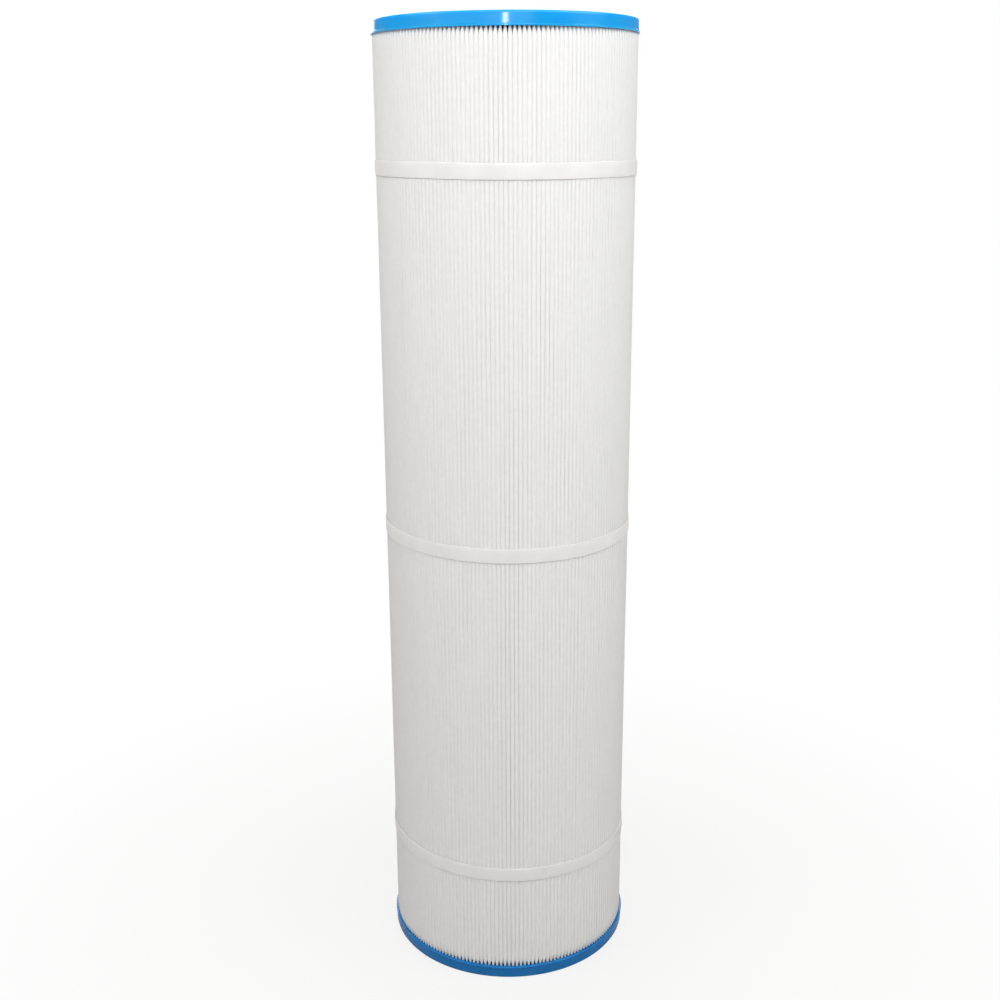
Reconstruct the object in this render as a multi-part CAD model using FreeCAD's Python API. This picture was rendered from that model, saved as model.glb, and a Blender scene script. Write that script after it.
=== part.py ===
import FreeCAD, Part
import math
import os
from FreeCAD import Vector

# Open-ended pleated pool filter cartridge. It stands on its lower end cap: the origin is the
# centre of that cap's underside, +Z runs up the cartridge's own axis. Millimetres throughout.

# --- Driving dimensions -------------------------------------------------------------------
LENGTH = 667.0              # overall, face to face of the two end caps

CAP_DIAMETER = 178.0        # over the lip, the widest ring of the cartridge
CAP_DEPTH = 9.0             # height of one end cap
CAP_WEB = 3.5               # solid cap beyond the ends of the media and the core
CAP_LIP_HEIGHT = 1.0        # thin moulded lip at the cap's inner edge
CAP_LIP_PROUD = 0.4
CAP_EDGE_RADIUS = 1.4       # rounding of the outer rim and of the bore's mouth
BORE_DIAMETER = 76.2        # open centre of both caps

SEAL_LAND_WIDTH = 8.5       # flat ring round the bore that seals on the tank's manifold
RIM_LAND_WIDTH = 6.0        # flat ring at the rim that the cartridge stands on
RECESS_DEPTH = 1.2          # dished zone between the two lands
RECESS_SLOPE_WIDTH = 1.6
STANDOFF_COUNT = 12         # dimples left by the mould's stand-off pins
STANDOFF_DIAMETER = 5.0
STANDOFF_DEPTH = 0.8

PLEAT_COUNT = 188
MEDIA_THICKNESS = 0.45
TIP_INSET = 1.4             # media tips inside the cap's widest ring
TIP_GAP = 1.0               # free width between two neighbouring outer folds
ROOT_GAP = 0.3              # the same between two inner folds
SEAM_BEAD_DEPTH = 10.0      # radial depth of the adhesive that joins the sheet's two ends

CORE_LEDGE = 5.3            # width of cap between the bore's wall and the core's inner wall
CORE_WALL = 2.6
CORE_CLEARANCE = 0.3        # radial, between the core and the inner folds
CORE_SECTION_COUNT = 3
CORE_RIB_COUNT = 16
CORE_RIB_WIDTH = 3.4
CORE_RING_PITCH = 11.0
CORE_RING_HEIGHT = 3.2
CORE_END_BAND = 9.0         # unpierced ring at each end of a section
JOINT_DEPTH = 4.0           # spigot and socket between two sections
JOINT_CLEARANCE = 0.15

STRAP_HEIGHT = 10.2
STRAP_THICKNESS = 0.5
STRAP_LAP_LENGTH = 20.0     # where the strap's end is welded over its start
STRAP_LAP_RAMP = 3.0
LOWER_STRAP_FROM_END = 85.0   # from the cartridge's lower face to the strap's centre
MIDDLE_STRAP_DROP = 8.0       # below half height
UPPER_STRAP_FROM_END = 93.0   # from the cartridge's upper face
GLUE_FILM = 0.25            # hot melt between a strap and the tips
GLUE_BITE_SHARE = 0.9       # how far the glue reaches in between the tips, of the media's thickness
GLUE_HEIGHT = 6.0

# --- Worked out from them -----------------------------------------------------------------
CAP_LIP_RADIUS = CAP_DIAMETER / 2
CAP_BODY_RADIUS = CAP_LIP_RADIUS - CAP_LIP_PROUD
BORE_RADIUS = BORE_DIAMETER / 2

TIP_RADIUS = CAP_LIP_RADIUS - TIP_INSET
CORE_INNER_RADIUS = BORE_RADIUS + CORE_LEDGE
CORE_OUTER_RADIUS = CORE_INNER_RADIUS + CORE_WALL
ROOT_RADIUS = CORE_OUTER_RADIUS + CORE_CLEARANCE
PLEAT_ANGLE = 2 * math.pi / PLEAT_COUNT
MEDIA_LOW = CAP_WEB
MEDIA_LENGTH = LENGTH - 2 * CAP_WEB

# Bend radii of the sheet's middle surface at the outer and the inner folds.
TIP_BEND = (PLEAT_ANGLE * TIP_RADIUS - TIP_GAP - MEDIA_THICKNESS) / 2
ROOT_BEND = (PLEAT_ANGLE * ROOT_RADIUS - ROOT_GAP - MEDIA_THICKNESS) / 2

STRAP_RADIUS = TIP_RADIUS + GLUE_FILM
STRAP_CENTRES = {
    "lower": LOWER_STRAP_FROM_END,
    "middle": LENGTH / 2 - MIDDLE_STRAP_DROP,
    "upper": LENGTH - UPPER_STRAP_FROM_END,
}
LAP_DIRECTIONS = {"lower": math.radians(205), "middle": math.radians(80), "upper": math.radians(-4)}


def polar(radius, angle, z=0.0):
    return Vector(radius * math.cos(angle), radius * math.sin(angle), z)


def turned(vector, angle):
    cosine, sine = math.cos(angle), math.sin(angle)
    return Vector(vector.x * cosine - vector.y * sine, vector.x * sine + vector.y * cosine, vector.z)


def mirrored(vector):
    """The point across the X axis, which is each pleat's own radial line before it is turned."""
    return Vector(vector.x, -vector.y, vector.z)


def line(start, end):
    return Part.LineSegment(start, end).toShape()


def arc(start, middle, end):
    return Part.Arc(start, middle, end).toShape()


def ring(inner_radius, outer_radius, low, height):
    outer = Part.makeCylinder(outer_radius, height, Vector(0, 0, low))
    inner = Part.makeCylinder(inner_radius, height, Vector(0, 0, low))
    return outer.cut(inner)


def revolved(edges):
    """A solid of revolution about Z from the closed outline that the edges make in the XZ plane."""
    return Part.Face(Part.Wire(edges)).revolve(Vector(0, 0, 0), Vector(0, 0, 1), 360)


# --- Pleated media ------------------------------------------------------------------------
TIP_CENTRE = Vector(TIP_RADIUS - MEDIA_THICKNESS / 2 - TIP_BEND, 0, 0)
ROOT_CENTRE = polar(ROOT_RADIUS + MEDIA_THICKNESS / 2 + ROOT_BEND, PLEAT_ANGLE / 2)


def leg_normal():
    """Unit normal of the straight leg that is tangent to a tip's bend and to the next root's bend."""
    along = ROOT_CENTRE - TIP_CENTRE
    swing = math.acos((TIP_BEND + ROOT_BEND) / along.Length)
    return turned(along.normalize(), -swing)


LEG_NORMAL = leg_normal()


def pleat_points(index, side):
    """Points of one pleat on one face of the sheet. Side is 1 for the outer face and -1 for the inner."""
    tip_bend = TIP_BEND + side * MEDIA_THICKNESS / 2
    root_bend = ROOT_BEND - side * MEDIA_THICKNESS / 2
    tip_end = TIP_CENTRE + LEG_NORMAL * tip_bend
    root_start = ROOT_CENTRE - LEG_NORMAL * root_bend
    root_bottom = ROOT_CENTRE - polar(root_bend, PLEAT_ANGLE / 2)
    root_end = turned(mirrored(root_start), PLEAT_ANGLE)
    points = {
        "leg_start": mirrored(root_start),
        "tip_start": mirrored(tip_end),
        "tip_top": TIP_CENTRE + Vector(tip_bend, 0, 0),
        "tip_end": tip_end,
        "root_start": root_start,
        "root_bottom": root_bottom,
        "root_end": root_end,
    }
    return {name: turned(point, index * PLEAT_ANGLE) for name, point in points.items()}


def sheet_face_edges(side):
    """Edges of one face of the sheet in order, from its first end to its last."""
    edges = []
    for index in range(PLEAT_COUNT):
        p = pleat_points(index, side)
        edges.append(line(p["leg_start"], p["tip_start"]))
        edges.append(arc(p["tip_start"], p["tip_top"], p["tip_end"]))
        edges.append(line(p["tip_end"], p["root_start"]))
        if index < PLEAT_COUNT - 1:
            edges.append(arc(p["root_start"], p["root_bottom"], p["root_end"]))
    return edges


def pleated_media():
    """One sheet folded into pleats. Its two ends stand side by side in the seam's valley."""
    last = PLEAT_COUNT - 1
    last_end = line(pleat_points(last, 1)["root_start"], pleat_points(last, -1)["root_start"])
    first_end = line(pleat_points(0, -1)["leg_start"], pleat_points(0, 1)["leg_start"])
    edges = sheet_face_edges(1) + [last_end] + sheet_face_edges(-1)[::-1] + [first_end]
    media = Part.Face(Part.Wire(edges)).extrude(Vector(0, 0, MEDIA_LENGTH))
    return media.translated(Vector(0, 0, MEDIA_LOW))


def media_seam_bead():
    """Adhesive between the sheet's two end legs, at the inner end of the valley they share."""
    first = pleat_points(0, 1)
    last = pleat_points(PLEAT_COUNT - 1, 1)
    first_leg = (first["tip_start"] - first["leg_start"]).normalize()
    last_leg = (last["tip_end"] - last["root_start"]).normalize()
    corners = [
        first["leg_start"],
        first["leg_start"] + first_leg * SEAM_BEAD_DEPTH,
        last["root_start"] + last_leg * SEAM_BEAD_DEPTH,
        last["root_start"],
    ]
    outline = Part.makePolygon(corners + corners[:1])
    bead = Part.Face(outline).extrude(Vector(0, 0, MEDIA_LENGTH))
    return bead.translated(Vector(0, 0, MEDIA_LOW))


# --- Core ---------------------------------------------------------------------------------
SECTION_LENGTH = MEDIA_LENGTH / CORE_SECTION_COUNT
JOINT_RADIUS = (CORE_INNER_RADIUS + CORE_OUTER_RADIUS) / 2


def core_windows(low):
    """One block for each window between the section's ribs and rings."""
    free_length = SECTION_LENGTH - 2 * CORE_END_BAND + CORE_RING_HEIGHT
    row_count = int(free_length // CORE_RING_PITCH)
    row_pitch = free_length / row_count
    width = 2 * math.pi * CORE_OUTER_RADIUS / CORE_RIB_COUNT - CORE_RIB_WIDTH
    blocks = []
    for row in range(row_count):
        z = low + CORE_END_BAND + row * row_pitch
        for rib in range(CORE_RIB_COUNT):
            start = Vector(CORE_INNER_RADIUS - CORE_WALL, -width / 2, z)
            block = Part.makeBox(3 * CORE_WALL, width, row_pitch - CORE_RING_HEIGHT, start)
            block.rotate(Vector(0, 0, 0), Vector(0, 0, 1), (rib + 0.5) * 360 / CORE_RIB_COUNT)
            blocks.append(block)
    return Part.makeCompound(blocks)


def core_section(index):
    """A moulded lattice tube. Its upper end plugs into the section above, except the last one's."""
    low = MEDIA_LOW + index * SECTION_LENGTH
    section = ring(CORE_INNER_RADIUS, CORE_OUTER_RADIUS, low, SECTION_LENGTH)
    if index < CORE_SECTION_COUNT - 1:
        spigot_radius = JOINT_RADIUS - JOINT_CLEARANCE / 2
        root = low + SECTION_LENGTH - CORE_END_BAND / 2
        top = low + SECTION_LENGTH + JOINT_DEPTH
        section = section.fuse(ring(CORE_INNER_RADIUS, spigot_radius, root, top - root)).removeSplitter()
    if index > 0:
        socket_radius = JOINT_RADIUS + JOINT_CLEARANCE / 2
        depth = JOINT_DEPTH + JOINT_CLEARANCE
        socket = Part.makeCylinder(socket_radius, depth, Vector(0, 0, low))
        section = section.cut(socket)
    return section.cut(core_windows(low))


# --- End caps -----------------------------------------------------------------------------
def cap_body():
    """The lower cap's outline turned about the axis, before the media and core are let into it."""
    edge = CAP_EDGE_RADIUS
    corner = edge * (1 - math.sqrt(0.5))
    seal_edge = BORE_RADIUS + edge + SEAL_LAND_WIDTH
    rim_edge = CAP_BODY_RADIUS - edge - RIM_LAND_WIDTH
    lip_low = CAP_DEPTH - CAP_LIP_HEIGHT

    def at(radius, z):
        return Vector(radius, 0, z)

    corners = [
        at(BORE_RADIUS + edge, 0),
        at(seal_edge, 0),
        at(seal_edge + RECESS_SLOPE_WIDTH, RECESS_DEPTH),
        at(rim_edge - RECESS_SLOPE_WIDTH, RECESS_DEPTH),
        at(rim_edge, 0),
        at(CAP_BODY_RADIUS - edge, 0),
    ]
    underside = [line(a, b) for a, b in zip(corners, corners[1:])]
    rim = arc(corners[-1], at(CAP_BODY_RADIUS - corner, corner), at(CAP_BODY_RADIUS, edge))
    corners = [
        at(CAP_BODY_RADIUS, edge),
        at(CAP_BODY_RADIUS, lip_low),
        at(CAP_LIP_RADIUS, lip_low),
        at(CAP_LIP_RADIUS, CAP_DEPTH),
        at(BORE_RADIUS, CAP_DEPTH),
        at(BORE_RADIUS, edge),
    ]
    upper = [line(a, b) for a, b in zip(corners, corners[1:])]
    mouth = arc(corners[-1], at(BORE_RADIUS + corner, corner), at(BORE_RADIUS + edge, 0))
    return revolved(underside + [rim] + upper + [mouth])


def standoff_dimples():
    """Shallow round pits in the dished zone, evenly spaced about the axis."""
    circle = (BORE_RADIUS + SEAL_LAND_WIDTH + CAP_BODY_RADIUS - RIM_LAND_WIDTH) / 2
    pits = []
    for index in range(STANDOFF_COUNT):
        centre = polar(circle, 2 * math.pi * index / STANDOFF_COUNT)
        pits.append(Part.makeCylinder(STANDOFF_DIAMETER / 2, RECESS_DEPTH + STANDOFF_DEPTH, centre))
    return Part.makeCompound(pits)


def lower_end_cap(media, seam_bead):
    """Cast round the ends of the media, the seam bead and the core, which sit in it up to the web."""
    core_end = ring(CORE_INNER_RADIUS, CORE_OUTER_RADIUS, MEDIA_LOW, CAP_DEPTH)
    body = cap_body().cut(standoff_dimples()).cut(core_end)
    return body.cut(media).cut(seam_bead)


def upper_end_cap(lower_cap):
    """The same casting, the other way up at the far end."""
    return lower_cap.mirror(Vector(0, 0, LENGTH / 2), Vector(0, 0, 1))


# --- Straps -------------------------------------------------------------------------------
def strap(centre, lap_direction):
    """A flat strap pulled round the tips, with its end welded over its start."""
    lap_angle = STRAP_LAP_LENGTH / STRAP_RADIUS
    ramp_angle = STRAP_LAP_RAMP / STRAP_RADIUS
    single = STRAP_RADIUS + STRAP_THICKNESS
    double = single + STRAP_THICKNESS
    ramp_start = lap_direction - lap_angle / 2 - ramp_angle
    lap_start = lap_direction - lap_angle / 2
    lap_end = lap_direction + lap_angle / 2
    far_side = (lap_end + ramp_start) / 2 + math.pi
    outline = Part.Wire([
        arc(polar(single, lap_end), polar(single, far_side), polar(single, ramp_start)),
        line(polar(single, ramp_start), polar(double, lap_start)),
        arc(polar(double, lap_start), polar(double, lap_direction), polar(double, lap_end)),
        line(polar(double, lap_end), polar(single, lap_end)),
    ])
    blank = Part.Face(outline).extrude(Vector(0, 0, STRAP_HEIGHT))
    inside = Part.makeCylinder(STRAP_RADIUS, STRAP_HEIGHT)
    return blank.cut(inside).translated(Vector(0, 0, centre - STRAP_HEIGHT / 2))


def strap_glue(centre, media):
    """Hot melt behind a strap: a thin film over the tips that fills the mouths between them."""
    arcs = []
    for index in range(PLEAT_COUNT):
        middle = index * PLEAT_ANGLE
        ends = [polar(STRAP_RADIUS, middle + side * PLEAT_ANGLE / 2) for side in (-1, 1)]
        arcs.append(arc(ends[0], polar(STRAP_RADIUS, middle), ends[1]))
    low = centre - GLUE_HEIGHT / 2
    disc = Part.Face(Part.Wire(arcs)).extrude(Vector(0, 0, GLUE_HEIGHT)).translated(Vector(0, 0, low))
    bite = GLUE_BITE_SHARE * MEDIA_THICKNESS
    inside = Part.makeCylinder(TIP_RADIUS - bite, GLUE_HEIGHT, Vector(0, 0, low))
    return disc.cut(inside).cut(media)


# --- Assembly -----------------------------------------------------------------------------
def build():
    media = pleated_media()
    seam_bead = media_seam_bead()
    lower_cap = lower_end_cap(media, seam_bead)
    nodes = {
        "pleated_media": media,
        "media_seam_bead": seam_bead,
        "lower_end_cap": lower_cap,
        "upper_end_cap": upper_end_cap(lower_cap),
    }
    for index in range(CORE_SECTION_COUNT):
        nodes[f"core_section_{index + 1}"] = core_section(index)
    for name, centre in STRAP_CENTRES.items():
        nodes[f"{name}_strap"] = strap(centre, LAP_DIRECTIONS[name])
        nodes[f"{name}_strap_glue"] = strap_glue(centre, media)
    return nodes


def main():
    os.makedirs("parts", exist_ok=True)
    for name, shape in build().items():
        shape.exportStep(f"parts/{name}.step")
        print(f"{name}: {len(shape.Solids)} solid, {shape.Volume / 1000:.2f} cm3, valid {shape.isValid()}")


main()
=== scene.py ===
import math

import bpy
import numpy as np
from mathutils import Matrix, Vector


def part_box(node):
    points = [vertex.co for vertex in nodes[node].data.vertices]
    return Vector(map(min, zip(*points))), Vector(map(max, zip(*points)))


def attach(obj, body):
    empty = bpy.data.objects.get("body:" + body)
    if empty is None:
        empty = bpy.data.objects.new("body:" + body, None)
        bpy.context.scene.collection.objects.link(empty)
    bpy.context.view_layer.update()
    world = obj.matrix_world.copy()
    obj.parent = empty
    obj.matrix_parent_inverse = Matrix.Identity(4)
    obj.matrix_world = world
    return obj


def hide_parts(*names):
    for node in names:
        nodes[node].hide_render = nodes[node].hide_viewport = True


# Looks for the pleated filter cartridge. Metres, in the CAD model's frame: the axis is Z and the
# lower face is at z = 0. The picture's viewer stands on the -Y side.

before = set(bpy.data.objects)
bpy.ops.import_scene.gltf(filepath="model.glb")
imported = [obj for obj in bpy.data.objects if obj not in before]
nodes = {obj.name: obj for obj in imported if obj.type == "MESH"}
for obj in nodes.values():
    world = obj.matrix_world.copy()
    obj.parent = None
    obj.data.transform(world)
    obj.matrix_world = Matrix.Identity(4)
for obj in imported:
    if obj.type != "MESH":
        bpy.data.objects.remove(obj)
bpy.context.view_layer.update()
MM = 0.001

media_low, media_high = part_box("pleated_media")
lower_cap_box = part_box("lower_end_cap")
upper_cap_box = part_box("upper_end_cap")
LENGTH = upper_cap_box[1].z
CAP_DEPTH = lower_cap_box[1].z
LIP_R = min(lower_cap_box[1].y, -lower_cap_box[0].x)
TIP_R = media_high.x
BORE_R = 38.1 * MM
PLEATS = 188
rng = np.random.default_rng(41)


# --- Mesh helpers -------------------------------------------------------------------------
def new_object(name, vertices, faces):
    """A smooth-shaded object made of these points and faces."""
    mesh = bpy.data.meshes.new(name)
    mesh.from_pydata(vertices, [], faces)
    mesh.update()
    mesh.polygons.foreach_set("use_smooth", np.ones(len(mesh.polygons), bool))
    piece = bpy.data.objects.new(name, mesh)
    bpy.context.scene.collection.objects.link(piece)
    return piece


def grid_faces(rows, columns, wrap):
    """Quads of a grid of points. Wrap joins the last column to the first."""
    span = columns if wrap else columns - 1
    r = np.arange(rows - 1)[:, None]
    c = np.arange(span)[None, :]
    right = (c + 1) % columns
    quads = np.stack(np.broadcast_arrays(r * columns + c, r * columns + right,
                                         (r + 1) * columns + right, (r + 1) * columns + c), -1)
    return quads.reshape(-1, 4)


def smoothstep(x, low, high):
    t = np.clip((x - low) / (high - low), 0, 1)
    return t * t * (3 - 2 * t)


def wander(z, knots, sigma, passes):
    """Random curves along z, one for each pleat, that pass smoothly through a few random values.

    Each pass makes neighbouring pleats more alike.
    """
    values = rng.normal(0, sigma, (PLEATS, knots))
    for _ in range(passes):
        values = 0.5 * values + 0.25 * np.roll(values, 1, 0) + 0.25 * np.roll(values, -1, 0)
    place = np.clip(z / LENGTH * (knots - 1), 0, knots - 1.0001)
    k = place.astype(int)
    t = place - k
    t = t * t * (3 - 2 * t)
    return values[:, k] * (1 - t) + values[:, k + 1] * t


# --- Pleated media ------------------------------------------------------------------------
STRAPS = {name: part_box(f"{name}_strap") for name in ("lower", "middle", "upper")}
STRAP_Z = [(low.z + high.z) / 2 for low, high in STRAPS.values()]
PITCH = math.tau / PLEATS
ROOT_R = 46.3 * MM
ROOT_BEND = 0.18 * MM           # radius of the inner folds
TIP_BEND = 1.42 * MM            # half of the width of the outer folds
TIP_CROWN = 0.24 * MM           # how far the outer folds stand out from flat
TIP_INSET = 0.08 * MM           # least distance from the CAD tips
FABRIC = 0.45 * MM
NEAR_ENDS = (0, 5.0, 5.6, 6.3, 7.2, 8.4, 10.5, 15, 26)      # mm from either end of the sheet
NEAR_STRAPS = (-9, 0, 9)        # mm from the middle of each strap
LEVEL_STEP = 36 * MM            # between the cross-sections elsewhere
OUTER_SHARES = (0, 0.2, 0.5, 0.8, 1)        # points round each tip, as shares of its turn
INNER_SHARES = (0, 0.5, 1)
ROOT_POINTS = 3                 # points at each pleat's root


def media_levels():
    """Heights of the sheet's cross-sections, close together at the caps and the straps."""
    low, high = media_low.z, media_high.z
    ends = [low + step * MM for step in NEAR_ENDS] + [high - step * MM for step in NEAR_ENDS]
    straps = [z + step * MM for z in STRAP_Z for step in NEAR_STRAPS]
    fixed = sorted(ends + straps)
    levels = []
    for a, b in zip(fixed, fixed[1:]):
        count = max(1, round((b - a) / LEVEL_STEP))
        levels += [a + (b - a) * k / count for k in range(count)]
    return np.array(levels + [fixed[-1]])


def spot(angle, radius):
    return np.stack([radius * np.cos(angle), radius * np.sin(angle)], -1)


def sheet_face(z, tip_angle, tip_r, tip_bend, tip_crown, inside):
    """Points of one face of the sheet, pleat by pleat. Inside is 0 for the outer face and 1 for the inner."""
    index = np.arange(PLEATS)[:, None]
    root_r = ROOT_R + FABRIC + ROOT_BEND
    root_ahead = (index + 0.5) * PITCH + 0 * tip_angle
    tip = spot(tip_angle, tip_r - tip_crown)
    ahead = spot(root_ahead, root_r)
    behind = spot((index - 0.5) * PITCH + 0 * tip_angle, root_r)

    def normal(root, turn):
        """The direction in which the wall between a tip and a root faces."""
        along = root - tip
        distance = np.hypot(along[..., 0], along[..., 1])
        angle = np.arctan2(along[..., 1], along[..., 0]) - turn * np.arccos((tip_bend + ROOT_BEND) / distance)
        return angle + math.tau * np.round((tip_angle - angle) / math.tau)

    leave, arrive = normal(ahead, 1), normal(behind, -1)
    half_width = tip_bend - inside * FABRIC
    root_bend = ROOT_BEND + inside * FABRIC
    crown = np.maximum(tip_crown - inside * FABRIC, 0)
    columns = [behind + spot(arrive + math.pi, root_bend)]
    for share in (OUTER_SHARES, INNER_SHARES)[inside]:
        turn = arrive + (leave - arrive) * share - tip_angle
        along, across = crown * np.cos(turn), half_width * np.sin(turn)
        columns.append(tip + spot(tip_angle, along) + spot(tip_angle + math.pi / 2, across))
    columns.append(ahead + spot(leave + math.pi, root_bend))
    columns.append(spot(root_ahead, root_r - root_bend))
    points = np.stack(columns, 1)
    return points.reshape(-1, len(z), 2)[:-1]


def sheet_end_faces(outer_count):
    """Faces across the sheet's thickness at one level. The inner face's points follow the outer face's."""
    outer, inner = len(OUTER_SHARES) + ROOT_POINTS, len(INNER_SHARES) + ROOT_POINTS
    match = [0, 1, 1, 2, 3, 3, 4, 5]        # the inner point behind each outer point of a pleat
    faces = []
    for column in range(outer_count - 1):
        a = column // outer * inner + match[column % outer]
        b = (column + 1) // outer * inner + match[(column + 1) % outer]
        corners = [column, column + 1, outer_count + b]
        faces.append(corners if a == b else corners + [outer_count + a])
    return faces


def pleated_sheet():
    """The folded sheet. Its tips wander a little, more so away from the straps, and the caps pinch them."""
    z = media_levels()
    from_end = np.minimum(z - CAP_DEPTH, LENGTH - CAP_DEPTH - z)
    from_strap = np.min([np.abs(z - s) for s in STRAP_Z], 0)
    pinch = 1 - smoothstep(from_end, -0.5 * MM, 5 * MM)
    free = smoothstep(from_strap, 4 * MM, 30 * MM) * smoothstep(from_end, 2 * MM, 26 * MM)

    index = np.arange(PLEATS)[:, None]
    swing = wander(z, 9, 0.03 * MM, 1) + wander(z, 5, 0.3 * MM, 6)
    tip_angle = index * PITCH + swing * (0.35 + 0.65 * free) / TIP_R
    inset = TIP_INSET + np.abs(wander(z, 10, 0.16 * MM, 1)) * (0.25 + 0.75 * free)
    tip_r = TIP_R - inset - 0.25 * MM * pinch
    width = 1 + np.clip(wander(z, 11, 0.02, 1), -0.05, 0.012)

    # No tip is wider than its share of the way to its neighbours, less a small gap.
    onward = (np.roll(tip_angle, -1, 0) - tip_angle) % math.tau * np.minimum(tip_r, np.roll(tip_r, -1, 0))
    room = np.minimum(onward, np.roll(onward, 1, 0)) / 2 - 0.01 * MM
    tip_bend = np.minimum(TIP_BEND * width * (1 - 0.55 * pinch), room)
    tip_crown = TIP_CROWN * (1 + 2.9 * pinch)

    outer = sheet_face(z, tip_angle, tip_r, tip_bend, tip_crown, 0)
    inner = sheet_face(z, tip_angle, tip_r, tip_bend, tip_crown, 1)
    loop = np.concatenate([outer, inner])
    count, first = len(loop), len(outer)
    xyz = np.concatenate([loop, np.broadcast_to(z, (count, len(z)))[..., None]], -1)
    vertices = xyz.transpose(1, 0, 2).reshape(-1, 3)

    # Round each cross-section: along the outer face, then back along the inner one.
    order = np.concatenate([np.arange(first), np.arange(first, count)[::-1]])
    quads = grid_faces(len(z), count, True)
    walls = order[quads % count] + quads // count * count
    ends = sheet_end_faces(first)
    top = (len(z) - 1) * count
    faces = walls.tolist() + [f[::-1] for f in ends] + [[top + v for v in f] for f in ends]
    piece = new_object("pleated_fabric", vertices.tolist(), faces)
    piece.data.set_sharp_from_angle(angle=math.radians(60))
    return piece


# --- End caps -----------------------------------------------------------------------------
# The profile's own sizes are in millimetres.
LAND_R, RIM_R = 48.0, 81.2                  # edges of the sealing land and of the outer rim
DISH_R, DISH_DEPTH = (49.9, 79.4), 1.2      # the sunken ring between them
LIP_OUT, LIP_DEPTH = 0.4, 1.1               # the thin lip where the casting meets the fabric
FILLET_STEPS = 4
HOLD = 0.12                                 # flat face kept beside each fillet, so that it shades flat
CAP_POINTS = 720                            # points round the cap
DIMPLES = 12
DIMPLE_CENTRE_R = 64.6 * MM
DIMPLE_R = (1.9 * MM, 2.6 * MM)             # of its floor and of its rim
DIMPLE_DEPTH = 0.8 * MM
SKIN_WAVE = 0.12 * MM                       # unevenness of the level skin round the pleats


def fillet(corner, start, end, radius):
    """Points that round a corner of a profile between its two neighbours."""
    corner, start, end = (np.array(p, float) for p in (corner, start, end))
    u = (start - corner) / np.linalg.norm(start - corner)
    v = (end - corner) / np.linalg.norm(end - corner)
    half = math.acos(np.clip(u @ v, -1, 1)) / 2
    reach = radius / math.tan(half)
    centre = corner + (u + v) / np.linalg.norm(u + v) * radius / math.sin(half)
    a, b = corner + u * reach - centre, corner + v * reach - centre
    turn = math.pi - 2 * half
    points = [corner + u * (reach + HOLD)]
    for k in range(FILLET_STEPS + 1):
        t = k / FILLET_STEPS
        points.append(centre + (a * math.sin((1 - t) * turn) + b * math.sin(t * turn)) / math.sin(turn))
    return points + [corner + v * (reach + HOLD)]


def cap_profile():
    """Radius and depth of the casting, both in millimetres. Depth 0 is the outer face."""
    lip, bore, deep = LIP_R / MM, BORE_R / MM, CAP_DEPTH / MM
    body = lip - LIP_OUT
    corners = [((bore, 0), 1.4), ((LAND_R, 0), 0.5), ((DISH_R[0], DISH_DEPTH), 0.6),
               ((DISH_R[1], DISH_DEPTH), 0.6), ((RIM_R, 0), 0.5), ((body, 0), 1.4),
               ((body + 0.05, deep - LIP_DEPTH - 0.2), 0.15), ((lip, deep - LIP_DEPTH), 0.2),
               ((lip, deep), 0.45), ((bore, deep), 0.6)]
    points = []
    for k, (corner, radius) in enumerate(corners):
        points += fillet(corner, corners[k - 1][0], corners[(k + 1) % len(corners)][0], radius)
    return points


def densified(points):
    """Adds points along the profile: close together on the dish, where the dimples are."""
    result = []
    for a, b in zip(points, points[1:] + points[:1]):
        result.append(a)
        on_dish = abs(a[1] - b[1]) < 0.01 and 0.5 < a[1] < 3
        count = int(np.linalg.norm(b - a) / (0.6 if on_dish else 6))
        for k in range(1, count):
            result.append(a + (b - a) * k / count)
    return result


def end_cap(name, upper):
    """The casting with its dished face, dimples, rim, lip and the level skin round the pleats."""
    profile = densified(cap_profile())
    angle = np.arange(CAP_POINTS) * math.tau / CAP_POINTS
    radius = np.array([p[0] for p in profile])[:, None] * MM
    depth = np.array([p[1] for p in profile])[:, None] * MM + 0 * angle
    for k in range(DIMPLES):
        at = math.tau * k / DIMPLES
        gap = np.hypot(radius * np.cos(angle) - DIMPLE_CENTRE_R * math.cos(at),
                       radius * np.sin(angle) - DIMPLE_CENTRE_R * math.sin(at))
        dimple = (1 - smoothstep(gap, *DIMPLE_R)) * DIMPLE_DEPTH
        depth = depth + dimple * (depth < 3 * MM)
    skin = smoothstep(depth, CAP_DEPTH - 0.3 * MM, CAP_DEPTH) * (radius < LIP_R - 1 * MM)
    depth = depth + skin * SKIN_WAVE * np.sin(angle * 17 + 1.3 * np.sin(angle * 5))
    z = LENGTH - depth if upper else depth
    vertices = np.stack([radius * np.cos(angle), radius * np.sin(angle), z], -1).reshape(-1, 3)
    rows = len(profile)
    faces = grid_faces(rows + 1, CAP_POINTS, True) % (rows * CAP_POINTS)
    if upper:
        faces = faces[:, ::-1]
    piece = new_object(name, vertices.tolist(), faces.tolist())
    piece.data.set_sharp_from_angle(angle=math.radians(50))
    return piece


# --- Straps -------------------------------------------------------------------------------
STRAP_THICKNESS = 0.34 * MM
STRAP_R = TIP_R + 0.25 * MM                 # of its inner face, over the hot melt
STRAP_BEVEL = 0.05 * MM
STRAP_TUCK = 0.16 * MM                      # how far its two edges curl in
LAP_LENGTH, LAP_RAMP = 20 * MM, 3 * MM
WAVES = ((2, 0.10 * MM), (3, 0.08 * MM), (5, 0.06 * MM), (9, 0.03 * MM))    # waves a turn, and height
LAPS = {"lower": 205, "middle": 80, "upper": -4}                            # degrees from +X
TILTS = {"lower": -1.8 * MM, "middle": -0.4 * MM, "upper": -0.5 * MM}       # rise of its +X side


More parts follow.
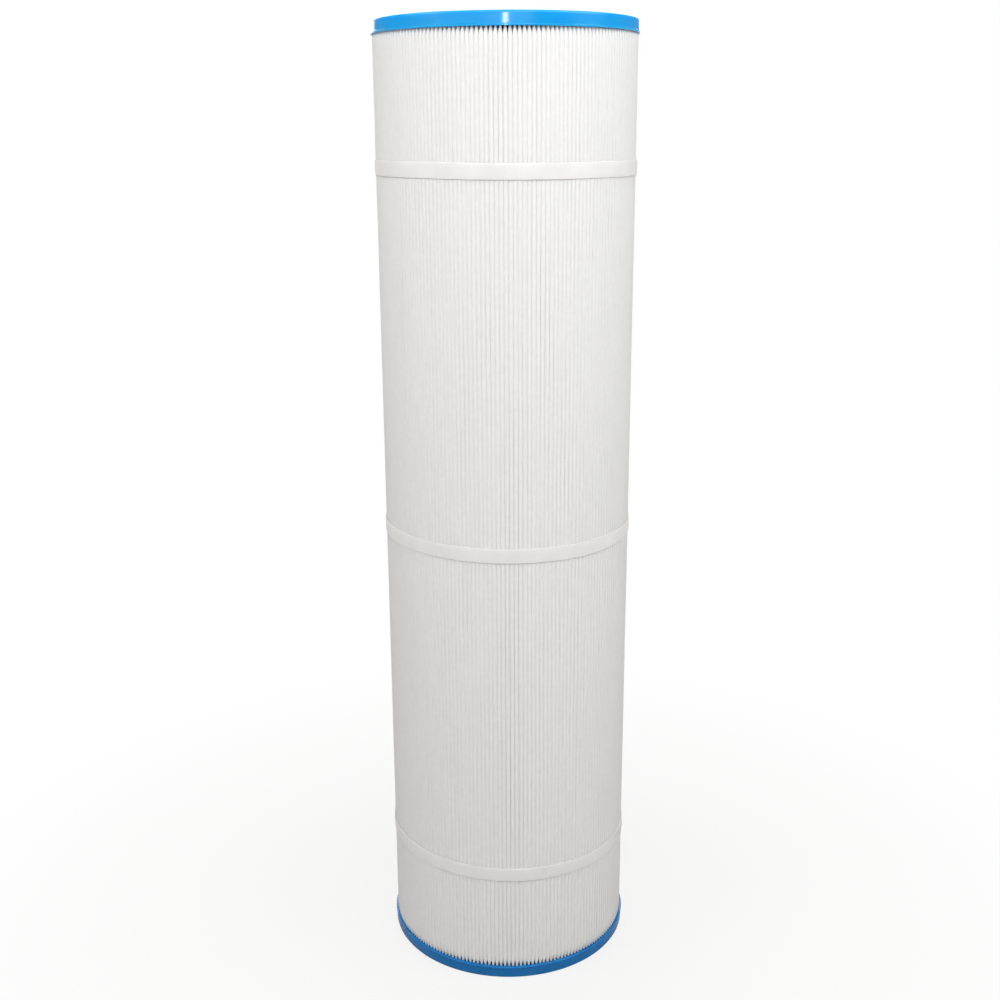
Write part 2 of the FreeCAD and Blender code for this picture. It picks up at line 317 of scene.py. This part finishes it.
def strap(name, box, lap_angle, tilt, seed):
    """A strap pulled round the tips, from its start under the lap to its welded end on top."""
    low, high = box
    noise = np.random.default_rng(seed)
    lap, ramp = LAP_LENGTH / STRAP_R, LAP_RAMP / STRAP_R
    steps = 4 * PLEATS
    travel = np.linspace(0, math.tau + lap, steps + 1)
    angle = lap_angle - lap / 2 + travel
    lift = smoothstep(travel, math.tau - ramp, math.tau) * STRAP_THICKNESS
    give = 0.02 * MM * np.cos(travel * PLEATS)
    phases = noise.uniform(0, 6.28, len(WAVES))
    rise = sum(size * np.sin(k * travel + phase) for (k, size), phase in zip(WAVES, phases))
    rise = rise + tilt * np.cos(angle)

    half = (high.z - low.z) / 2 - 0.15 * MM
    middle, t, bevel = (low.z + high.z) / 2, STRAP_THICKNESS, STRAP_BEVEL
    section = [(0, -half + bevel), (bevel, -half), (t - bevel, -half), (t, -half + bevel),
               (t, -half * 0.7), (t, -half * 0.3), (t, half * 0.3), (t, half * 0.7),
               (t, half - bevel), (t - bevel, half), (bevel, half), (0, half - bevel),
               (0, half * 0.6), (0, -half * 0.6)]
    rows = []
    for out, up in section:
        tuck = STRAP_TUCK * (abs(up) / half) ** 3
        radius = STRAP_R + out + lift + give * (out > 0) - tuck
        rows.append(np.stack([radius * np.cos(angle), radius * np.sin(angle), middle + up + rise], -1))
    count = len(rows)
    vertices = np.stack(rows, 1).reshape(-1, 3)
    faces = grid_faces(steps + 1, count, True)[:, ::-1].tolist()
    last = steps * count
    faces += [list(range(count)), [last + k for k in range(count)][::-1]]
    piece = new_object(name, vertices.tolist(), faces)
    piece.data.set_sharp_from_angle(angle=math.radians(30))
    return piece


# --- Materials ----------------------------------------------------------------------------
class Nodes:
    """Short names for building a node tree."""

    def __init__(self, name):
        self.material = bpy.data.materials.new(name)
        self.material.use_nodes = True
        self.tree = self.material.node_tree
        self.tree.nodes.clear()
        self.output = self.add("ShaderNodeOutputMaterial")

    def add(self, kind, inputs=None, **settings):
        node = self.tree.nodes.new(kind)
        for key, value in settings.items():
            setattr(node, key, value)
        for key, value in (inputs or {}).items():
            self.put(node.inputs[key], value)
        return node

    def put(self, socket, value):
        if isinstance(value, bpy.types.NodeSocket):
            self.tree.links.new(value, socket)
        else:
            socket.default_value = value

    def noise(self, vector, scale, detail=2.0, roughness=0.5, distortion=0.0):
        node = self.add("ShaderNodeTexNoise", {"Vector": vector, "Scale": scale, "Detail": detail,
                                               "Roughness": roughness, "Distortion": distortion})
        return node.outputs["Fac"]

    def stretched(self, vector, x, y, z):
        node = self.add("ShaderNodeMapping", {"Vector": vector, "Scale": (x, y, z)})
        return node.outputs["Vector"]

    def ramp(self, factor, low, high, to_low=0.0, to_high=1.0):
        node = self.add("ShaderNodeMapRange", {"Value": factor, "From Min": low, "From Max": high,
                                               "To Min": to_low, "To Max": to_high})
        return node.outputs["Result"]

    def math(self, operation, a, b=0.0):
        node = self.add("ShaderNodeMath", {0: a, 1: b}, operation=operation)
        return node.outputs[0]

    def blend(self, factor, a, b):
        node = self.add("ShaderNodeMix", data_type="RGBA")
        self.put(node.inputs[0], factor)
        self.put(node.inputs[6], a)
        self.put(node.inputs[7], b)
        return node.outputs[2]

    def bump(self, height, strength, distance):
        node = self.add("ShaderNodeBump", {"Height": height, "Strength": strength, "Distance": distance})
        return node.outputs["Normal"]

    def object_coordinates(self):
        return self.add("ShaderNodeTexCoord").outputs["Object"]

    def principled(self, inputs):
        return self.add("ShaderNodeBsdfPrincipled", inputs)

    def finish(self, shader):
        self.tree.links.new(shader, self.output.inputs["Surface"])
        return self.material


def fabric_material():
    """White spunbond polyester: random fibres, cloudy thickness, matt, and light passes through it."""
    n = Nodes("spunbond_fabric")
    place = n.object_coordinates()
    cloud = n.noise(place, 260, 3, 0.55)
    fibre = n.noise(n.stretched(place, 1, 1, 0.35), 2600, 3, 0.6, 1.5)
    cross = n.noise(n.stretched(place, 1, 1, 1.8), 1700, 2, 0.6, 2.0)
    fibres = n.math("MAXIMUM", fibre, cross)
    soil = n.noise(n.stretched(place, 1, 1, 0.12), 60, 2, 0.5)
    colour = n.blend(n.ramp(cloud, 0.3, 0.7), (0.91, 0.91, 0.905, 1), (0.945, 0.945, 0.94, 1))
    colour = n.blend(n.ramp(fibres, 0.45, 0.75, 0.0, 0.55), colour, (0.97, 0.97, 0.965, 1))
    colour = n.blend(n.ramp(soil, 0.55, 0.8, 0.0, 0.10), colour, (0.84, 0.835, 0.815, 1))
    normal = n.bump(fibres, 0.35, 0.00012)
    body = n.principled({"Base Color": colour, "Roughness": n.ramp(fibres, 0.3, 0.8, 0.92, 0.78),
                         "Specular IOR Level": 0.25, "Normal": normal,
                         "Sheen Weight": 0.15, "Sheen Roughness": 0.5})
    through = n.add("ShaderNodeBsdfTranslucent", {"Color": colour, "Normal": normal})
    mix = n.add("ShaderNodeMixShader", {0: 0.42, 1: body.outputs[0], 2: through.outputs[0]})
    return n.finish(mix.outputs[0])


def urethane_material(name, deep, light):
    """Blue cast polyurethane: smooth, glossy, with a faint flow mottle and fine pits."""
    n = Nodes(name)
    place = n.object_coordinates()
    flow = n.noise(n.stretched(place, 1, 1, 3), 26, 3, 0.5, 1.2)
    fine = n.noise(place, 900, 2, 0.5)
    pits = n.add("ShaderNodeTexVoronoi", {"Vector": place, "Scale": 330.0}).outputs["Distance"]
    pit = n.ramp(pits, 0.03, 0.11)
    colour = n.blend(n.ramp(flow, 0.3, 0.7), deep, light)
    rough = n.ramp(fine, 0.3, 0.7, 0.11, 0.17)
    height = n.math("ADD", n.math("MULTIPLY", pit, 0.35), n.math("MULTIPLY", fine, 0.5))
    normal = n.bump(height, 0.04, 0.0002)
    body = n.principled({"Base Color": colour, "Roughness": rough, "Normal": normal,
                         "Specular IOR Level": 0.28, "Subsurface Weight": 0.85,
                         "Subsurface Scale": 0.006})
    body.inputs["Subsurface Radius"].default_value = (0.15, 0.7, 1.0)
    return n.finish(body.outputs[0])


def strap_material():
    """Milky polypropylene strap with fine lines from the extruder along its length."""
    n = Nodes("milky_strap")
    place = n.object_coordinates()
    lines = n.noise(n.stretched(place, 0.04, 0.04, 4), 900, 2, 0.6)
    cloud = n.noise(place, 70, 2, 0.5)
    scuff = n.noise(n.stretched(place, 1, 1, 0.3), 420, 3, 0.7)
    colour = n.blend(n.ramp(cloud, 0.3, 0.7), (0.695, 0.682, 0.668, 1), (0.745, 0.733, 0.718, 1))
    rough = n.ramp(scuff, 0.4, 0.75, 0.44, 0.58)
    normal = n.bump(lines, 0.25, 0.00008)
    body = n.principled({"Base Color": colour, "Roughness": rough, "Normal": normal,
                         "Subsurface Weight": 0.35, "Subsurface Scale": 0.002,
                         "Specular IOR Level": 0.3})
    body.inputs["Subsurface Radius"].default_value = (1.0, 0.95, 0.9)
    return n.finish(body.outputs[0])


def moulded_material():
    """White injection-moulded polypropylene of the core, satin with a soft grain."""
    n = Nodes("moulded_core")
    place = n.object_coordinates()
    grain = n.noise(place, 1500, 2, 0.5)
    flow = n.noise(n.stretched(place, 1, 1, 0.3), 40, 3, 0.5)
    colour = n.blend(n.ramp(flow, 0.3, 0.7), (0.70, 0.70, 0.685, 1), (0.79, 0.79, 0.775, 1))
    normal = n.bump(grain, 0.15, 0.0001)
    body = n.principled({"Base Color": colour, "Roughness": n.ramp(grain, 0.3, 0.7, 0.42, 0.55),
                         "Normal": normal, "Subsurface Weight": 0.15, "Subsurface Scale": 0.002})
    return n.finish(body.outputs[0])


def adhesive_material(name, pale):
    """Milky set adhesive, smooth with strings and bubbles."""
    n = Nodes(name)
    place = n.object_coordinates()
    string = n.noise(n.stretched(place, 1, 1, 0.4), 500, 3, 0.6, 1.0)
    colour = n.blend(n.ramp(string, 0.3, 0.7), (pale * 0.92, pale * 0.91, pale * 0.84, 1),
                     (pale, pale, pale * 0.95, 1))
    normal = n.bump(string, 0.4, 0.0002)
    body = n.principled({"Base Color": colour, "Roughness": n.ramp(string, 0.3, 0.7, 0.3, 0.45),
                         "Normal": normal, "Subsurface Weight": 0.3, "Subsurface Scale": 0.002})
    return n.finish(body.outputs[0])


def wear(piece, material):
    piece.data.materials.clear()
    piece.data.materials.append(material)


def stand_in(piece, node, material):
    """Shows a piece instead of a CAD node, in the given material."""
    wear(piece, material)
    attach(piece, "root")
    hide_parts(node)


# Painted shade and light: both castings are the same blue, but the lower one gets a darker copy and the upper
# one a lighter copy, standing in for the light falling off towards the bottom.
lower_urethane_painted_shade = urethane_material("cast_urethane_lower_painted_shade", (0.003, 0.13, 0.36, 1), (0.004, 0.15, 0.40, 1))
upper_urethane_painted_light = urethane_material("cast_urethane_upper_painted_light", (0.003, 0.275, 0.61, 1), (0.004, 0.305, 0.67, 1))
strap_plastic = strap_material()

media = pleated_sheet()
stand_in(media, "pleated_media", fabric_material())
# The lower cap wears the copy darkened with painted shade, the upper cap the copy lightened with painted
# light.
stand_in(end_cap("cast_cap_lower", False), "lower_end_cap", lower_urethane_painted_shade)
stand_in(end_cap("cast_cap_upper", True), "upper_end_cap", upper_urethane_painted_light)
for seed, (name, box) in enumerate(STRAPS.items()):
    piece = strap(f"flat_strap_{name}", box, math.radians(LAPS[name]), TILTS[name], seed)
    stand_in(piece, f"{name}_strap", strap_plastic)

core_plastic = moulded_material()
seam_adhesive = adhesive_material("seam_adhesive", 0.78)
hot_melt = adhesive_material("hot_melt", 0.82)
for name, node in nodes.items():
    if name.startswith("core_section"):
        wear(node, core_plastic)
    elif name == "media_seam_bead":
        wear(node, seam_adhesive)
    elif name.endswith("strap_glue"):
        wear(node, hot_melt)


# --- Floor, light and camera --------------------------------------------------------------
FLOOR_REACH = 12        # metres to each side
SHADOW_R, WHITE_R = 0.12, 0.5       # to the camera the floor fades from shaded to plain white between these


def stage_floor():
    """A pale level floor. To the camera it fades to plain white away from the cartridge's shadow."""
    half = np.geomspace(0.3, FLOOR_REACH, 12)
    across = np.concatenate([-half[::-1], half])
    vertices = [(x, y, 0.0) for y in across for x in across]
    floor = new_object("floor", vertices, grid_faces(len(across), len(across), False).tolist())
    n = Nodes("floor_paint")
    place = n.object_coordinates()
    cloud = n.noise(place, 3, 2, 0.5)
    colour = n.blend(n.ramp(cloud, 0.3, 0.7), (0.46, 0.44, 0.42, 1), (0.48, 0.46, 0.44, 1))
    body = n.principled({"Base Color": colour, "Roughness": 0.9, "Specular IOR Level": 0.0})
    white = n.add("ShaderNodeEmission", {"Color": (1, 1, 1, 1), "Strength": 1.0})
    far = n.add("ShaderNodeVectorMath", {0: place}, operation="LENGTH").outputs["Value"]
    path = n.add("ShaderNodeLightPath")
    seen = n.math("MULTIPLY", n.ramp(far, SHADOW_R, WHITE_R, 0.82, 1.0), path.outputs["Is Camera Ray"])
    mirrored = n.math("MULTIPLY", n.ramp(far, 0.15, 0.9), path.outputs["Is Glossy Ray"])
    amount = n.math("MAXIMUM", seen, mirrored)
    mix = n.add("ShaderNodeMixShader", {0: amount, 1: body.outputs[0], 2: white.outputs[0]})
    wear(floor, n.finish(mix.outputs[0]))


def area_light(name, place, target, size, power):
    """A rectangular white lamp that faces its target. Power is in watts."""
    data = bpy.data.lights.new(name, "AREA")
    data.shape = "RECTANGLE"
    data.size, data.size_y = size
    data.energy = power
    lamp = bpy.data.objects.new(name, data)
    lamp.location = place
    lamp.rotation_euler = (Vector(target) - Vector(place)).to_track_quat("-Z", "Y").to_euler()
    bpy.context.scene.collection.objects.link(lamp)


def sky(strength):
    """Plain white surroundings that light the object weakly. The camera sees them at strength 1."""
    world = bpy.data.worlds.new("studio")
    bpy.context.scene.world = world
    world.use_nodes = True
    tree = world.node_tree
    tree.nodes.clear()
    output = tree.nodes.new("ShaderNodeOutputWorld")
    plain = tree.nodes.new("ShaderNodeBackground")
    plain.inputs["Strength"].default_value = strength
    white = tree.nodes.new("ShaderNodeBackground")
    for shade in (plain, white):
        shade.inputs["Color"].default_value = (1, 1, 1, 1)
    white.inputs["Strength"].default_value = 1.0
    path = tree.nodes.new("ShaderNodeLightPath")
    mix = tree.nodes.new("ShaderNodeMixShader")
    tree.links.new(path.outputs["Is Camera Ray"], mix.inputs[0])
    tree.links.new(plain.outputs[0], mix.inputs[1])
    tree.links.new(white.outputs[0], mix.inputs[2])
    tree.links.new(mix.outputs[0], output.inputs["Surface"])


# Lamps: place, target, width and height, watts
LAMPS = {
    "front": ((0.05, -1.25, 1.05), (0, 0, 0.64), (1.0, 0.6), 5.5),
    "key": ((0.40, -0.80, 1.25), (0, 0, 0.66), (1.0, 1.0), 5.6),
    "fill": ((-0.75, -0.85, 1.20), (0, 0, 0.62), (1.0, 1.0), 4.7),
    "back": ((-0.15, 1.3, 1.1), (0, 0, 0.4), (1.8, 1.0), 18),
    "right": ((1.0, -0.35, 1.15), (0, 0, 0.64), (0.7, 0.8), 8.0),
    "left": ((-1.0, -0.35, 1.15), (0, 0, 0.64), (0.7, 0.8), 6.0),
    "overhead": ((0.0, -0.4, 1.5), (0, 0, 0.66), (0.6, 0.6), 2.0),
    "flash": ((0.002, -0.93, 0.727), (0, 0, 0.66), (0.03, 0.03), 0.5),
}

stage_floor()
sky(0.28)
for name, settings in LAMPS.items():
    area_light(name, *settings)

# The camera that was solved from the picture, in metres, degrees and millimetres
CAMERA_PLACE = (0, -0.91038, 0.60304)
CAMERA_DOWN, CAMERA_ROLL, CAMERA_TURN = 16.162, 0.312, 0.235
CAMERA_LENS = 46.973

camera_data = bpy.data.cameras.new("camera")
camera_data.sensor_width = 36.0
camera_data.lens = CAMERA_LENS
camera_data.clip_end = 40
camera = bpy.data.objects.new("camera", camera_data)
camera.location = CAMERA_PLACE
camera.rotation_euler = [math.radians(a) for a in (90 - CAMERA_DOWN, CAMERA_ROLL, CAMERA_TURN)]
bpy.context.scene.collection.objects.link(camera)
bpy.context.scene.camera = camera
bpy.context.scene.view_settings.view_transform = "Standard"
